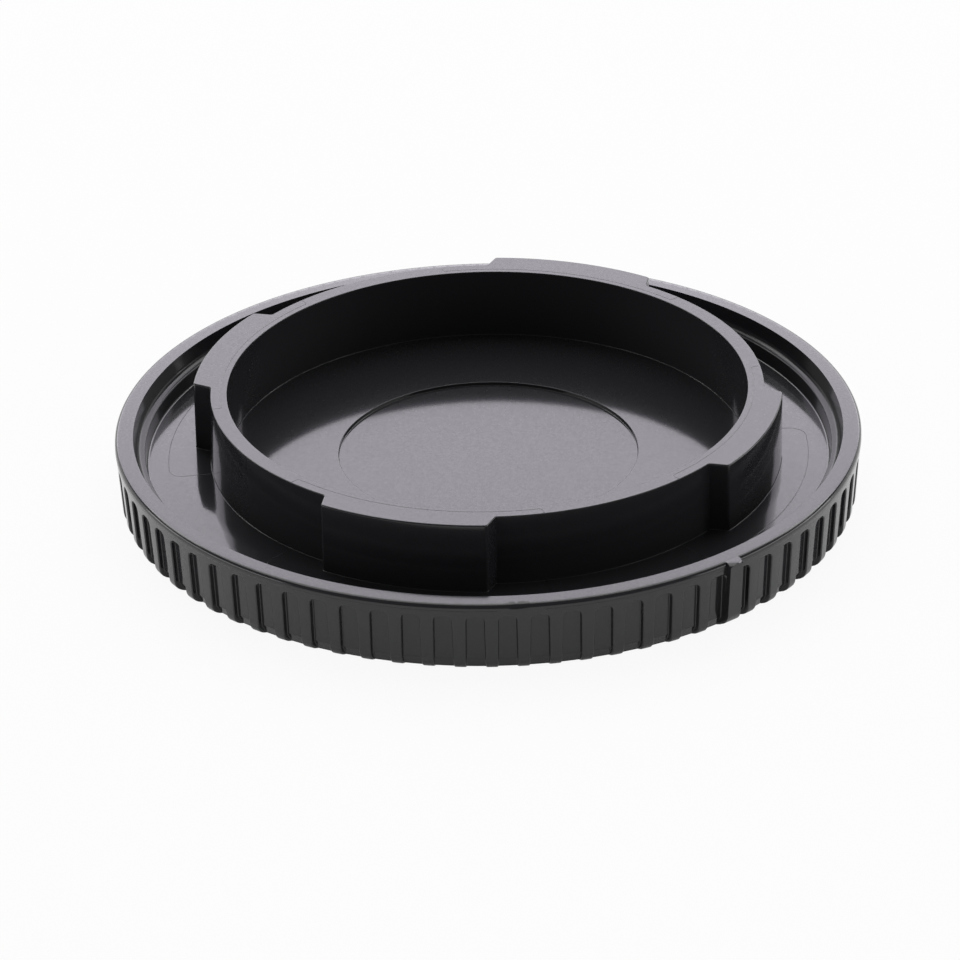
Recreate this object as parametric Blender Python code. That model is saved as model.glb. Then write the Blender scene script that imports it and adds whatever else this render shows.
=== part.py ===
"""Camera body cap, moulded in one piece.

A shallow round cap with a gripped rim, an inner bayonet ring that stands above the rim, and
four lugs on the ring that turn behind the mount's own tabs. It lies front face down, with the
ring upwards. Metres, +Z up. The origin is the middle of the front face, on the ground, and the
lugs and grip are numbered anticlockwise from +X, seen from above.
"""

import math

import bmesh
import bpy
from mathutils import Matrix, Vector

MM = 0.001

# Bayonet ring, which enters the mount's throat; its height is above the channel's floor
RING_DIAMETER = 43.9 * MM
RING_WALL = 1.3 * MM
RING_HEIGHT = 5.76 * MM
RING_DRAFT = math.radians(1.5)
RING_FOOT_RADIUS = 0.08 * MM

# Channel round the ring, with a ledge part of the way down the rim's wall
CHANNEL_WIDTH = 5.04 * MM
CHANNEL_DEPTH = 2.31 * MM
CHANNEL_WALL_DRAFT = math.radians(10.0)
CHANNEL_CORNER_RADIUS = 0.4 * MM
LEDGE_DEPTH = 1.35 * MM
LEDGE_WIDTH = 0.6 * MM
RIM_WALL_DRAFT = math.radians(13.0)

# Rim round the channel
RIM_LAND = 1.48 * MM
RIM_HEIGHT = 5.98 * MM
RIM_EDGE_RADIUS = 0.33 * MM
SIDE_DRAFT = math.radians(4.2)
FRONT_EDGE_RADIUS = 1.08 * MM

# Lugs: each one's middle, its angle at the ring, and the lean of its ends from the radius
LUG_REACH = 1.45 * MM
LUG_ANGLES = [math.radians(angle) for angle in (71.4, 160.3, 253.0, 338.9)]
LUG_SPAN = math.radians(36.4)
LUG_END_LEAN = math.radians(26.0)
LUG_CORNER_RADIUS = 0.3 * MM
LUG_EDGE_RADIUS = 0.12 * MM

# Round recess in the middle of the inside, and the plain dished front
CENTRE_DIAMETER = 23.84 * MM
CENTRE_DEPTH = 0.27 * MM
FRONT_BORDER = 3.9 * MM
FRONT_DISH_DEPTH = 0.8 * MM

# Grip: pockets open at the front edge, closed with rounded corners under the rim's top
POCKET_COUNT = 75
FIRST_POCKET = math.radians(-87.6)
POCKET_TOP_GAP = 1.05 * MM
POCKET_TOP_WIDTH = 1.4 * MM
POCKET_FOOT_WIDTH = 1.55 * MM
POCKET_CORNER_RADIUS = 0.45 * MM
POCKET_DEPTH = 0.4 * MM
POCKET_FLARE = math.radians(3.0)
FOOT_CHAMFER_HEIGHT = 0.93 * MM
FOOT_CHAMFER_DEPTH = 0.56 * MM

# Index rib, which stands proud of the grip and comes to a point at the rim's top
INDEX_ANGLE = math.radians(-51.3)
INDEX_WIDTH = 1.28 * MM
INDEX_PROUD = 0.42 * MM
INDEX_POINT_DROP = 0.3 * MM
INDEX_FOOT_RISE = 0.12 * MM

# Facets, the overrun of the cutters, and the least flat or rounding that an edge is left with
TURN_STEPS = 120
EDGE_STEPS = 3
SHARP_ANGLE = math.radians(30.0)
CUTTER_OVERRUN = 1.0 * MM
LEAST_EDGE = 0.03 * MM

# Heights from the front face, and radii from the ring outwards
FLOOR_Z = RIM_HEIGHT - CHANNEL_DEPTH
LEDGE_Z = RIM_HEIGHT - LEDGE_DEPTH
RING_TOP = FLOOR_Z + RING_HEIGHT
RING_RADIUS = RING_DIAMETER / 2
BORE_RADIUS = RING_RADIUS - RING_WALL
RING_FOOT = RING_RADIUS + RING_HEIGHT * math.tan(RING_DRAFT)
CHANNEL_OUTER = RING_FOOT + CHANNEL_WIDTH
LEDGE_INNER = CHANNEL_OUTER + (LEDGE_Z - FLOOR_Z) * math.tan(CHANNEL_WALL_DRAFT)
LEDGE_OUTER = LEDGE_INNER + LEDGE_WIDTH
RIM_INNER = LEDGE_OUTER + LEDGE_DEPTH * math.tan(RIM_WALL_DRAFT)
RIM_RADIUS = RIM_INNER + RIM_LAND
POCKET_PITCH = math.tau / POCKET_COUNT


def side_radius(z):
    """Radius of the rim's outer side at a height; it narrows towards the front face."""
    return RIM_RADIUS - (RIM_HEIGHT - z) * math.tan(SIDE_DRAFT)


def polar(radius, angle):
    return Vector((radius * math.cos(angle), radius * math.sin(angle)))


def rounded(corners, steps=EDGE_STEPS):
    """Profile points for (x, z, radius) corners; a radius above zero becomes an arc."""
    points = []
    for index, (x, z, radius) in enumerate(corners):
        corner = Vector((x, z))
        if radius == 0:
            points.append(corner)
            continue
        before = (Vector(corners[index - 1][:2]) - corner).normalized()
        after = (Vector(corners[index + 1][:2]) - corner).normalized()
        half = before.angle(after) / 2
        centre = corner + (before + after).normalized() * radius / math.sin(half)
        start = corner + before * radius / math.tan(half) - centre
        end = corner + after * radius / math.tan(half) - centre
        turn = start.angle_signed(end)
        for step in range(steps + 1):
            points.append(centre + Matrix.Rotation(-turn * step / steps, 2) @ start)
    return points


def cap_profile():
    """Half section of the cap, from the axis inside, over ring and rim, to the axis in front."""
    centre_radius = CENTRE_DIAMETER / 2
    centre_z = FLOOR_Z - CENTRE_DEPTH
    dish_radius = side_radius(0) - FRONT_BORDER
    return rounded([
        (0, centre_z, 0),
        (centre_radius, centre_z, 0),
        (centre_radius, FLOOR_Z, 0),
        (BORE_RADIUS, FLOOR_Z, RING_FOOT_RADIUS),
        (BORE_RADIUS, RING_TOP, 0),
        (RING_RADIUS, RING_TOP, 0),
        (RING_FOOT, FLOOR_Z, RING_FOOT_RADIUS),
        (CHANNEL_OUTER, FLOOR_Z, CHANNEL_CORNER_RADIUS),
        (LEDGE_INNER, LEDGE_Z, 0),
        (LEDGE_OUTER, LEDGE_Z, 0),
        (RIM_INNER, RIM_HEIGHT, 0),
        (RIM_RADIUS, RIM_HEIGHT, RIM_EDGE_RADIUS),
        (side_radius(0), 0, FRONT_EDGE_RADIUS),
        (dish_radius, 0, 0),
        (dish_radius, FRONT_DISH_DEPTH, 0),
        (0, FRONT_DISH_DEPTH, 0),
    ])


def add_object(name, mesh):
    obj = bpy.data.objects.new(name, mesh)
    bpy.context.scene.collection.objects.link(obj)
    return obj


def add_tool(name, bm):
    """Helper solid for a Boolean, out of the render."""
    bmesh.ops.recalc_face_normals(bm, faces=bm.faces)
    mesh = bpy.data.meshes.new(name)
    bm.to_mesh(mesh)
    bm.free()
    obj = add_object(name, mesh)
    obj.hide_render = True
    obj.display_type = 'WIRE'
    return obj


def turned_body(name):
    """The section turned about Z."""
    points = cap_profile()
    mesh = bpy.data.meshes.new(name)
    edges = [(index, index + 1) for index in range(len(points) - 1)]
    mesh.from_pydata([(x, 0, z) for x, z in points], edges, [])
    obj = add_object(name, mesh)
    screw = obj.modifiers.new("turn", 'SCREW')
    screw.steps = TURN_STEPS
    screw.render_steps = TURN_STEPS
    screw.use_merge_vertices = True
    screw.merge_threshold = 0.001 * MM
    screw.use_smooth_shade = True
    return obj


def skin(bm, loops):
    """Walls between loops of equally many points, and the rows of their vertices."""
    rows = [[bm.verts.new(point) for point in loop] for loop in loops]
    for low, high in zip(rows, rows[1:]):
        for index in range(len(low)):
            after = (index + 1) % len(low)
            bm.faces.new((low[index], low[after], high[after], high[index]))
    return rows


def lug_end(side, inset):
    """Rounded outer corner and inner end of one lug end, side +1 or -1, in the lug's own frame."""
    root = polar(RING_RADIUS, side * LUG_SPAN / 2)
    along = polar(1, side * (LUG_SPAN / 2 - LUG_END_LEAN))
    normal = Vector((-along.y, along.x)) * side
    offset = normal.dot(root) - inset
    outer = RING_RADIUS + LUG_REACH - inset
    radius = max(LUG_CORNER_RADIUS - inset, LEAST_EDGE)
    reach = math.sqrt((outer - radius) ** 2 - (offset - radius) ** 2)
    centre = normal * (offset - radius) + along * reach
    start = normal * radius
    end = centre * radius / (outer - radius)
    turn = start.angle_signed(end)
    buried = RING_RADIUS - RING_WALL / 2
    points = [normal * offset + along * math.sqrt(buried ** 2 - offset ** 2)]
    for step in range(EDGE_STEPS + 1):
        points.append(centre + Matrix.Rotation(-turn * step / EDGE_STEPS, 2) @ start)
    return points


def lug_outline(inset):
    """Plan of a lug about +X: end, outer arc, end, and an inner arc buried in the ring's wall."""
    low = lug_end(-1, inset)
    high = lug_end(1, inset)
    steps = max(2, round(LUG_SPAN / math.tau * TURN_STEPS))
    outline = list(low)
    start, end = low[-1], high[-1]
    sweep = math.atan2(end.y, end.x) - math.atan2(start.y, start.x)
    for step in range(1, steps):
        outline.append(polar(start.length, math.atan2(start.y, start.x) + sweep * step / steps))
    outline.extend(reversed(high))
    start, end = high[0], low[0]
    sweep = math.atan2(end.y, end.x) - math.atan2(start.y, start.x)
    for step in range(1, steps):
        outline.append(polar(start.length, math.atan2(start.y, start.x) + sweep * step / steps))
    return outline


def lugs():
    """Four lugs, from under the channel's floor to the ring's top, with rounded upper edges."""
    bm = bmesh.new()
    for angle in LUG_ANGLES:
        levels = [(FLOOR_Z - RING_FOOT_RADIUS, 0)]
        for step in range(EDGE_STEPS + 1):
            turn = math.pi / 2 * step / EDGE_STEPS
            drop = LUG_EDGE_RADIUS * (1 - math.sin(turn))
            levels.append((RING_TOP - drop, LUG_EDGE_RADIUS * (1 - math.cos(turn))))
        around = Matrix.Rotation(angle, 3, 'Z')
        loops = []
        for z, inset in levels:
            loops.append([around @ Vector((x, y, z)) for x, y in lug_outline(inset)])
        rows = skin(bm, loops)
        bm.faces.new(rows[0])
        bm.faces.new(rows[-1])
    return add_tool("lugs", bm)


def pocket_outline():
    """Width and height of a pocket seen from outside, anticlockwise from its lower left."""
    foot = -CUTTER_OVERRUN
    top = RIM_HEIGHT - POCKET_TOP_GAP
    slope = (POCKET_FOOT_WIDTH - POCKET_TOP_WIDTH) / 2 / top
    half_top = POCKET_TOP_WIDTH / 2

    def half(z):
        return half_top + (top - z) * slope

    crease = FOOT_CHAMFER_HEIGHT
    right = [(half(foot), foot), (half(crease), crease)]
    radius = POCKET_CORNER_RADIUS
    for step in range(EDGE_STEPS + 1):
        turn = math.pi / 2 * step / EDGE_STEPS
        z = top - radius * (1 - math.sin(turn))
        right.append((half(z) - radius * (1 - math.cos(turn)), z))
    return right + [(-y, z) for y, z in reversed(right)]


def pocket_floor(z):
    """Radius of a pocket's floor: level with the side, then chamfered inwards at the foot."""
    crease = FOOT_CHAMFER_HEIGHT
    if z >= crease:
        return side_radius(z) - POCKET_DEPTH
    fall = (crease - z) / FOOT_CHAMFER_HEIGHT * FOOT_CHAMFER_DEPTH
    return side_radius(crease) - POCKET_DEPTH - fall


def pockets():
    """One cutter for each pocket of the grip, spaced evenly round the rim."""
    outline = pocket_outline()
    outside = RIM_RADIUS + CUTTER_OVERRUN
    bm = bmesh.new()
    for number in range(POCKET_COUNT):
        around = Matrix.Rotation(FIRST_POCKET + number * POCKET_PITCH, 3, 'Z')
        inner = []
        outer = []
        for y, z in outline:
            floor = pocket_floor(z)
            flare = math.copysign((outside - floor) * math.tan(POCKET_FLARE), y)
            inner.append(around @ Vector((floor, y, z)))
            outer.append(around @ Vector((outside, y + flare, z)))
        back, front = skin(bm, [inner, outer])
        bm.faces.new((back[0], back[1], back[-2], back[-1]))
        bm.faces.new(back[1:-1])
        bm.faces.new(front)
    return add_tool("pockets", bm)


def index_rib():
    """Rib proud of the grip at the index angle, over one of the grip's own ribs."""
    top = RIM_HEIGHT
    buried = (RIM_INNER + side_radius(0) - POCKET_DEPTH) / 2
    outer_top = side_radius(top) + INDEX_PROUD
    outer_foot = side_radius(0) + INDEX_PROUD
    foot_radius = min(FRONT_EDGE_RADIUS + INDEX_PROUD, outer_foot - buried - LEAST_EDGE)
    side = rounded([
        (buried, top, 0),
        (outer_top, top, 0),
        (outer_foot, INDEX_FOOT_RISE, foot_radius),
        (buried, INDEX_FOOT_RISE, 0),
    ])[1:]
    half = INDEX_WIDTH / 2
    around = Matrix.Rotation(INDEX_ANGLE, 3, 'Z')
    bm = bmesh.new()

    def vertex(x, y, z):
        return bm.verts.new(around @ Vector((x, y, z)))

    point = vertex(outer_top, 0, top)
    left, right = [], []
    for y, row in ((half, left), (-half, right)):
        row.append(vertex(buried, y, top))
        row.append(vertex(side_radius(top), y, top))
        row.append(vertex(side_radius(top - INDEX_POINT_DROP) + INDEX_PROUD, y, top - INDEX_POINT_DROP))
        row.extend(vertex(x, y, z) for x, z in side[1:])
    for row in (left, right):
        bm.faces.new(row)
        bm.faces.new((row[1], point, row[2]))
    bm.faces.new((left[0], left[1], point, right[1], right[0]))
    bm.faces.new((left[2], point, right[2], right[3], left[3]))
    for index in range(3, len(left) - 1):
        bm.faces.new((left[index], left[index + 1], right[index + 1], right[index]))
    bm.faces.new((left[-1], left[0], right[0], right[-1]))
    return add_tool("index_rib", bm)


def combine(obj, tool, operation):
    modifier = obj.modifiers.new(tool.name, 'BOOLEAN')
    modifier.operation = operation
    modifier.solver = 'EXACT'
    modifier.object = tool


def apply_all(obj, tools):
    """Turns the object's modifiers into its mesh, and takes the helpers away."""
    bpy.context.view_layer.update()
    graph = bpy.context.evaluated_depsgraph_get()
    mesh = bpy.data.meshes.new_from_object(obj.evaluated_get(graph))
    obj.modifiers.clear()
    obj.data = mesh
    mesh.name = obj.name
    mesh.shade_smooth()
    mesh.set_sharp_from_angle(angle=SHARP_ANGLE)
    for tool in tools:
        bpy.data.objects.remove(tool)


def black_plastic():
    material = bpy.data.materials.new("black_moulded_plastic")
    material.use_nodes = True
    shader = material.node_tree.nodes["Principled BSDF"]
    shader.inputs["Base Color"].default_value = (0.012, 0.012, 0.013, 1)
    shader.inputs["Roughness"].default_value = 0.28
    shader.inputs["Metallic"].default_value = 0
    return material


def main():
    for obj in list(bpy.data.objects):
        bpy.data.objects.remove(obj)
    cap = turned_body("body_cap")
    tools = [lugs(), pockets(), index_rib()]
    combine(cap, tools[0], 'UNION')
    combine(cap, tools[1], 'DIFFERENCE')
    combine(cap, tools[2], 'UNION')
    apply_all(cap, tools)
    cap.data.materials.clear()
    cap.data.materials.append(black_plastic())


main()
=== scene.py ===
"""Camera body cap: the moulded surface, its plastic and the studio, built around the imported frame."""

import math

import bpy
import numpy as np
from bpy.props import FloatProperty, FloatVectorProperty, IntProperty, PointerProperty
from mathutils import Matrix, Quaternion, Vector


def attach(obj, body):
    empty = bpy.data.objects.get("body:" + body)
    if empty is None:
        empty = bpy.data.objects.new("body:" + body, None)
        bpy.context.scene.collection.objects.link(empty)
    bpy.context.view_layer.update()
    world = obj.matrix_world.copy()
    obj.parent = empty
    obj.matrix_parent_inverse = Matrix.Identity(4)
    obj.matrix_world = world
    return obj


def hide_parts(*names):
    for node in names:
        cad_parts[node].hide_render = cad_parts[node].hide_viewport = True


bl_info = {
    "name": "Camera Body Cap",
    "version": (1, 0, 0),
    "blender": (4, 5, 0),
    "location": "3D View > Sidebar > Body Cap",
    "description": "Moulded camera body cap with a gripped rim and a bayonet ring, and its studio",
    "category": "Add Mesh",
}

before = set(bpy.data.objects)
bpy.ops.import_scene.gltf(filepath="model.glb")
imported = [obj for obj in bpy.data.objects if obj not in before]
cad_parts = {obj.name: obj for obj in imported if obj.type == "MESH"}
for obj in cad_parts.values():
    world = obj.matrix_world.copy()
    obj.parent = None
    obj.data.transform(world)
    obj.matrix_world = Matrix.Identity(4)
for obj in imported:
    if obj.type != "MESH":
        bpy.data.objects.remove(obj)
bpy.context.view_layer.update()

MM = 0.001
NODE = "body_cap"
BODY = "root"


def linear(code):
    """Linear colour of an sRGB hex code such as 2B2B2D."""
    parts = [int(code[index:index + 2], 16) / 255 for index in (0, 2, 4)]
    return [part / 12.92 if part <= 0.04045 else ((part + 0.055) / 1.055) ** 2.4 for part in parts]


def length(name, description, size):
    """A length property, its default in millimetres."""
    return FloatProperty(name=name, description=description, default=size * MM, unit='LENGTH',
                         precision=5)


def angle(name, description, size):
    """An angle property, its default in degrees."""
    return FloatProperty(name=name, description=description, default=math.radians(size),
                         unit='ROTATION')


def share_of(name, description, value):
    """A property for a share or a roughness, from 0 to 1."""
    return FloatProperty(name=name, description=description, default=value, min=0, max=1,
                         subtype='FACTOR')


def colour(name, description, code):
    """A colour property, its default an sRGB hex code."""
    return FloatVectorProperty(name=name, description=description, default=linear(code),
                               subtype='COLOR')


class CapSizes(bpy.types.PropertyGroup):
    """Sizes of the moulded surface, the same as the frame's where both have them."""

    ring_radius: length("Ring radius", "Outer radius of the bayonet ring at its top", 21.95)
    ring_wall: length("Ring wall", "Wall of the bayonet ring", 1.3)
    ring_height: length("Ring height", "From the channel's floor to the ring's top", 5.76)
    ring_draft: angle("Ring draft", "Draft of the ring's outer wall", 1.5)
    ring_edge: length("Ring edge", "Rounding of the ring's top edges", 0.06)
    ring_foot: length("Ring foot fillet", "Fillet at the ring's foot, inside and outside", 0.05)
    lug_reach: length("Lug reach", "How far the lugs stand out from the ring", 1.45)
    lug_span: angle("Lug span", "Angle that a lug takes at the ring", 36.4)
    lug_lean: angle("Lug lean", "Lean of a lug's ends from the radius", 26.0)
    lug_corner: length("Lug corner", "Rounding of a lug's corners in plan", 0.3)
    lug_edge: length("Lug edge", "Rounding of a lug's upper edge", 0.12)
    lug_root: length("Lug root", "Fillet between a lug's end and the ring", 0.25)
    centre_radius: length("Centre radius", "Radius of the round recess in the middle", 11.92)
    centre_depth: length("Centre depth", "Depth of the round recess", 0.27)
    channel_width: length("Channel width", "From the ring's foot to the rim's wall", 5.04)
    channel_depth: length("Channel depth", "From the rim's top to the channel's floor", 2.31)
    channel_fall: length("Channel fall", "How much lower the channel's floor lies at the rim", 0.16)
    channel_draft: angle("Channel draft", "Draft of the wall under the ledge", 10.0)
    channel_corner: length("Channel corner", "Fillet between the channel's floor and wall", 0.14)
    ledge_depth: length("Ledge depth", "From the rim's top to the ledge", 1.35)
    ledge_width: length("Ledge width", "Width of the ledge", 0.6)
    ledge_edge: length("Ledge edge", "Rounding of the ledge's edge", 0.12)
    ledge_root: length("Ledge root", "Fillet between the ledge and the wall above it", 0.5)
    rim_wall_draft: angle("Rim wall draft", "Draft of the wall above the ledge", 13.0)
    rim_height: length("Rim height", "Height of the rim's top over the front face", 5.98)
    rim_land: length("Rim land", "Width of the rim's flat top", 1.48)
    land_fall: length("Land fall", "How much lower the rim's top lies at its outer edge", 0.06)
    land_edge: length("Land edge", "Rounding of the rim's inner top edge", 0.02)
    rim_edge: length("Rim edge", "Rounding of the rim's outer top edge", 0.33)
    side_draft: angle("Side draft", "Draft of the rim's outer side", 4.2)
    front_edge: length("Front edge", "Rounding of the front face's edge", 1.08)
    front_border: length("Front border", "Width of the flat border round the front's dish", 3.9)
    dish_depth: length("Dish depth", "Depth of the front's dish", 0.8)
    pocket_count: IntProperty(name="Pockets", description="Pockets of the grip", default=75, min=3)
    pocket_first: angle("First pocket", "Angle of the first pocket's middle", -87.6)
    pocket_gap: length("Pocket gap", "From the rim's top to a pocket's top", 1.05)
    pocket_top: length("Pocket top width", "Width of a pocket under its rounded top", 1.4)
    pocket_foot: length("Pocket foot width", "Width of a pocket at the front face", 1.55)
    pocket_corner: length("Pocket corner", "Corner radius of a pocket's top", 0.45)
    pocket_depth: length("Pocket depth", "Depth of a pocket", 0.4)
    pocket_flare: angle("Pocket flare", "Draft of a pocket's walls", 3.0)
    rib_edge: length("Rib edge", "Rounding of the ribs between the pockets", 0.11)
    rib_foot: length("Rib foot", "Fillet between a rib and the pocket's floor", 0.08)
    crease_height: length("Crease height", "Height of the chamfer at a pocket's foot", 0.93)
    crease_depth: length("Crease depth", "How far the pocket's foot is chamfered", 0.56)
    index_angle: angle("Index angle", "Angle of the index rib", -51.3)
    index_width: length("Index width", "Width of the index rib", 1.28)
    index_proud: length("Index proud", "How far the index rib stands out from the side", 0.42)
    index_drop: length("Index drop", "Height of the index rib's pointed top", 0.3)
    index_rise: length("Index rise", "Height of the index rib's foot over the front face", 0.26)
    line_width: length("Line width", "Width of the ridges where the mould's parts met", 0.15)
    line_height: length("Line height", "Height of the ridges where the mould's parts met", 0.014)
    insert_inner: length("Insert inner line", "Radius of the inserts' line on the ring's top", 21.15)
    insert_outer: length("Insert outer line", "Radius of the inserts' line on the floor", 25.45)
    insert_low: angle("Insert start", "From a lug's middle to the start of its insert", 27.0)
    insert_high: angle("Insert end", "From a lug's middle to the end of its insert", 28.0)
    parting_drop: length("Parting line", "From the rim's top to the parting line round its side", 0.56)
    gap_start: angle("Gap start", "Start of the parting line's gap, where the gate was", -88.8)
    gap_end: angle("Gap end", "End of the parting line's gap", -82.0)
    gate_angle: angle("Gate angle", "Middle of the cut gate's scar", -86.3)
    gate_width: length("Gate width", "Width of the cut gate's scar in the rim's outer edge", 1.3)
    gate_depth: length("Gate depth", "Depth of the cut gate's scar", 0.09)


class CapFinish(bpy.types.PropertyGroup):
    """Colours and gloss of the plastic."""

    plastic: colour("Plastic", "Colour of the black moulded plastic", "2E2E31")
    skin: share_of("Skin", "Share of the sharp sheen that the polished tool gives", 0.95)
    # Painted shade: a weaker sheen that darkens the rim's inner walls.
    wall_shade_skin: share_of("Wall skin", "Share of the sharp sheen on the rim's inner walls", 0.45)
    skin_roughness: share_of("Skin roughness", "Roughness of the sharp sheen", 0.09)
    haze: share_of("Haze", "Strength of the haze, where 0.5 is a bare surface", 0.015)
    haze_roughness: share_of("Haze roughness", "Roughness of the faint haze", 0.28)
    ripple: length("Ripple", "Height of the slow waves in the moulded skin", 0.002)


class StudioSettings(bpy.types.PropertyGroup):
    """Floor, lamps and camera."""

    floor: colour("Floor", "Colour of the floor and the sweep", "F4F4F4")
    floor_white: share_of("Floor white", "Share of the floor that is seen as plain white", 0.93)
    # Painted shade in front of the cap and a painted shadow under its rim, both seen only in the
    # floor's reflections.
    front_shade_white: share_of("Front white", "Share of that white in reflections before the cap", 0.6)
    rim_shadow_white: share_of("Rim white", "Share of that white in reflections under the rim", 0.4)
    world: share_of("World", "Strength of the light from all round", 0.12)
    lens: FloatProperty(name="Lens", description="Focal length of the camera", default=230.2,
                        unit='CAMERA')
    distance: length("Distance", "From the rim's top to the camera", 488.4)
    elevation: angle("Elevation", "Height of the camera over the horizon", 27.365)
    roll: angle("Roll", "Roll of the camera", -1.073)


def ramp(start, end, steps):
    """Even steps from start to end, both ends included."""
    return np.linspace(start, end, steps + 1)


def corner(before, at, after, radius, steps):
    """Points of a rounded corner in the half section: the arc of a circle that touches both legs.

    The centre lies on the line that halves the corner, radius over the sine of half the corner's
    angle away. The points turn evenly from one touching point to the other.
    """
    at = np.array(at)
    one = np.array(before) - at
    two = np.array(after) - at
    one /= np.linalg.norm(one)
    two /= np.linalg.norm(two)
    half = math.acos(np.clip(one @ two, -1, 1)) / 2
    middle = one + two
    middle /= np.linalg.norm(middle)
    centre = at + middle * radius / math.sin(half)
    start = at + one * radius / math.tan(half) - centre
    end = at + two * radius / math.tan(half) - centre
    share = ramp(0, 1, steps)[:, None]
    turn = math.pi - 2 * half
    return centre + (start * np.sin((1 - share) * turn) + end * np.sin(share * turn)) / math.sin(turn)


def section(corners, steps):
    """A run of the half section as (radius, height) points, from (radius, height, rounding) corners.

    Each corner is an arc between its legs. The first and the last corner only give a direction.
    """
    points = []
    for before, at, after in zip(corners, corners[1:], corners[2:]):
        if at[2] > 0:
            points.append(corner(before[:2], at[:2], after[:2], at[2], steps))
        else:
            points.append(np.array([at[:2]], float))
    return np.concatenate(points)


def ring_of(radius, turn, height):
    """A row of points round the axis: radius times cosine, radius times sine, height."""
    radius, turn, height = np.broadcast_arrays(radius, turn, height)
    return np.stack([radius * np.cos(turn), radius * np.sin(turn), height], 1)


# Steps round a lug's corner and the fillet behind it, and columns over its outer arc.
CORNER_STEPS = 5
ROOT_STEPS = 3
LUG_COLUMNS = 58
# The lugs' middles. They are spaced unevenly, so that the cap enters its mount one way only.
LUG_ANGLES = np.radians([71.4, 160.3, 253.0, 338.9])


def lug_end(size):
    """Plan of a lug's end on its anticlockwise side, with the lug's middle on +X.

    The end is a line that leans from the radius. A circle touches it and the lug's outer circle
    from inside, and a second one touches it and the ring's circle from outside. The points run
    along the first arc, over the line, and along the second arc. Returns points, outward normals
    and the share of a lug at each point.
    """
    half = size.lug_span / 2
    along = np.array([math.cos(half - size.lug_lean), math.sin(half - size.lug_lean)])
    normal = np.array([-along[1], along[0]])
    root = size.ring_radius * np.array([math.cos(half), math.sin(half)])
    offset = normal @ root
    outer = size.ring_radius + size.lug_reach - size.lug_corner
    reach = math.sqrt(outer ** 2 - (offset - size.lug_corner) ** 2)
    tip = normal * (offset - size.lug_corner) + along * reach
    inner = size.ring_radius + size.lug_root
    back = math.sqrt(inner ** 2 - (offset + size.lug_root) ** 2)
    hollow = normal * (offset + size.lug_root) + along * back
    first = math.atan2(tip[1], tip[0])
    last = math.atan2(normal[1], normal[0])
    turn = ramp(first, last, CORNER_STEPS)
    tip_normals = np.stack([np.cos(turn), np.sin(turn)], 1)
    turn = ramp(last, math.atan2(hollow[1], hollow[0]), ROOT_STEPS)
    root_normals = np.stack([np.cos(turn), np.sin(turn)], 1)
    tip_points = tip + size.lug_corner * tip_normals
    points = np.concatenate([tip_points, hollow - size.lug_root * root_normals])
    share = np.concatenate([np.ones(CORNER_STEPS + 1), ramp(1, 0, ROOT_STEPS)])
    return points, np.concatenate([tip_normals, root_normals]), share


def turned(points, by):
    """Points or normals in plan, turned about the axis."""
    cos, sin = math.cos(by), math.sin(by)
    return points @ np.array([[cos, sin], [-sin, cos]])


def ring_outline(size, columns):
    """Plan of the ring's outer wall with its lugs: points, outward normals and share of a lug.

    Each lug has the same number of columns. The others are spread evenly over the arcs between the
    lugs, so that the outline closes with the wanted number of points.
    """
    points, normals, share = lug_end(size)
    flip = np.array([1, -1])
    low = points[::-1] * flip, normals[::-1] * flip, share[::-1]
    reach = math.atan2(points[0][1], points[0][0])
    root = math.atan2(points[-1][1], points[-1][0])
    spare = columns - len(LUG_ANGLES) * (2 * len(points) + LUG_COLUMNS)
    after = np.append(LUG_ANGLES[1:], LUG_ANGLES[0] + math.tau)
    gaps = after - LUG_ANGLES - 2 * root
    counts = np.diff(np.round(np.cumsum(np.insert(gaps, 0, 0)) / gaps.sum() * spare)).astype(int)
    parts = []
    for middle, gap, count in zip(LUG_ANGLES, gaps, counts):
        turn = middle + ramp(-reach, reach, LUG_COLUMNS + 1)[1:-1]
        over = np.stack([np.cos(turn), np.sin(turn)], 1)
        outer = size.ring_radius + size.lug_reach
        turn = middle + root + ramp(0, gap, count + 1)[1:-1]
        between = np.stack([np.cos(turn), np.sin(turn)], 1)
        parts.append((turned(low[0], middle), turned(low[1], middle), low[2]))
        parts.append((outer * over, over, np.ones(LUG_COLUMNS)))
        parts.append((turned(points, middle), turned(normals, middle), share))
        parts.append((size.ring_radius * between, between, np.zeros(count)))
    return [np.concatenate(each) for each in zip(*parts)]


def side_radius(size, height):
    """Radius of the rim's outer side at a height."""
    return rim_radius(size) - (size.rim_height - height) * math.tan(size.side_draft)


def rim_radius(size):
    """Outer radius of the rim at its top, from the ring outwards."""
    return channel_corners(size)[-1][0] + size.rim_land


def channel_corners(size):
    """Corners of the section from the ring's foot to the rim's top, as (radius, height).

    The floor's corner at the wall lies lower than its corner at the ring by the channel's fall.
    """
    floor = size.rim_height - size.channel_depth
    ledge = size.rim_height - size.ledge_depth
    foot = size.ring_radius + size.ring_height * math.tan(size.ring_draft)
    wall = foot + size.channel_width
    inner = wall + (ledge - floor) * math.tan(size.channel_draft)
    outer = inner + size.ledge_width
    top = outer + size.ledge_depth * math.tan(size.rim_wall_draft)
    low = floor - size.channel_fall
    return [(foot, floor), (wall, low), (inner, ledge), (outer, ledge), (top, size.rim_height)]


# How far outside the lugs the channel's floor starts to fall, and the rounding of that bend.
FALL_GAP = 0.6 * MM
FALL_ROUNDING = 16 * MM


def fall_start(size):
    """Radius outside the lugs where the channel's floor starts to fall."""
    return size.ring_radius + size.lug_reach + FALL_GAP


def ring_top(size):
    """Height of the ring's flat top, without the fine lines that stand on it."""
    return size.rim_height - size.channel_depth + size.ring_height - size.line_height


# Columns to each pocket in the cap's inside and front, where the grip has twice as many, and the
# steps of a rounded corner.
INNER_COLUMNS_PER_POCKET = 9
ARC_STEPS = 4
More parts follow.
